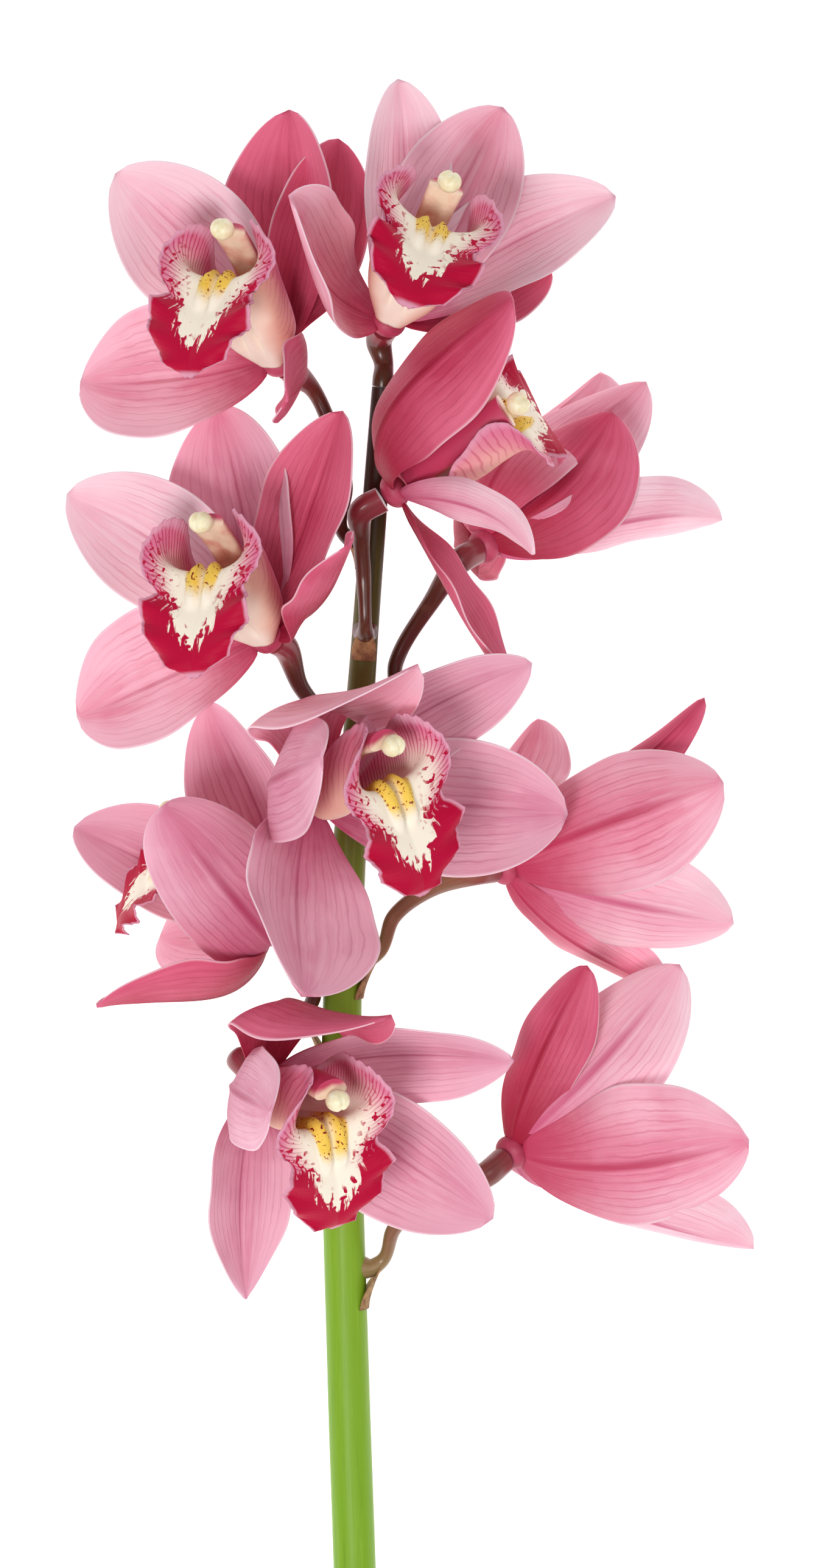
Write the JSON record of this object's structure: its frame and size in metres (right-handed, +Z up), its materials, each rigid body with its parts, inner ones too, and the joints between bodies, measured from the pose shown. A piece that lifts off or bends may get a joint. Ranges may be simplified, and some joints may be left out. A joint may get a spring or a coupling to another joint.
{
  "type": "cut orchid flower stem",
  "caption": "Cut cymbidium orchid stem with open pink blooms and spotted crimson lips along a green flower stalk, lying on a surface.",
  "frame": {"origin": "on the surface, under the middle of the part's box", "axes": "+Z up, away from the surface the stem lies on; +Y along the stem towards its flowering tip; +X to the right when the blooms are seen from above"},
  "size_m": [0.1704, 0.4432, 0.1221],
  "materials": {
    "stem_green": "smooth fleshy green stalk, brown at the tip",
    "pedicel_brown": "smooth maroon-brown flower stalk and ovary",
    "tepal_pink": "waxy pink petal with fine darker veins",
    "lip_crimson": "waxy crimson and cream lip with specks and a yellow callus",
    "column_cream": "waxy cream column with a crimson back",
    "anther_ivory": "smooth ivory cap"
  },
  "bodies": {
    "root": {"bloom_01_anther_cap": "anther_ivory", "bloom_01_column": "column_cream", "bloom_01_lip": "lip_crimson", "bloom_01_tepals": "tepal_pink", "bloom_02_anther_cap": "anther_ivory", "bloom_02_column": "column_cream", "bloom_02_lip": "lip_crimson", "bloom_02_tepals": "tepal_pink", "bloom_03_anther_cap": "anther_ivory", "bloom_03_column": "column_cream", "bloom_03_lip": "lip_crimson", "bloom_03_tepals": "tepal_pink", "bloom_04_anther_cap": "anther_ivory", "bloom_04_column": "column_cream", "bloom_04_lip": "lip_crimson", "bloom_04_tepals": "tepal_pink", "bloom_05_anther_cap": "anther_ivory", "bloom_05_column": "column_cream", "bloom_05_lip": "lip_crimson", "bloom_05_tepals": "tepal_pink", "bloom_06_anther_cap": "anther_ivory", "bloom_06_column": "column_cream", "bloom_06_lip": "lip_crimson", "bloom_06_tepals": "tepal_pink", "bloom_07_anther_cap": "anther_ivory", "bloom_07_column": "column_cream", "bloom_07_lip": "lip_crimson", "bloom_07_tepals": "tepal_pink", "bloom_08_anther_cap": "anther_ivory", "bloom_08_column": "column_cream", "bloom_08_lip": "lip_crimson", "bloom_08_tepals": "tepal_pink", "bloom_09_anther_cap": "anther_ivory", "bloom_09_column": "column_cream", "bloom_09_lip": "lip_crimson", "bloom_09_tepals": "tepal_pink", "bloom_10_anther_cap": "anther_ivory", "bloom_10_column": "column_cream", "bloom_10_lip": "lip_crimson", "bloom_10_tepals": "tepal_pink", "pedicel_01": "pedicel_brown", "pedicel_02": "pedicel_brown", "pedicel_03": "pedicel_brown", "pedicel_04": "pedicel_brown", "pedicel_05": "pedicel_brown", "pedicel_06": "pedicel_brown", "pedicel_07": "pedicel_brown", "pedicel_08": "pedicel_brown", "pedicel_09": "pedicel_brown", "pedicel_10": "pedicel_brown", "stem": "stem_green"}
  },
  "joints": []
}
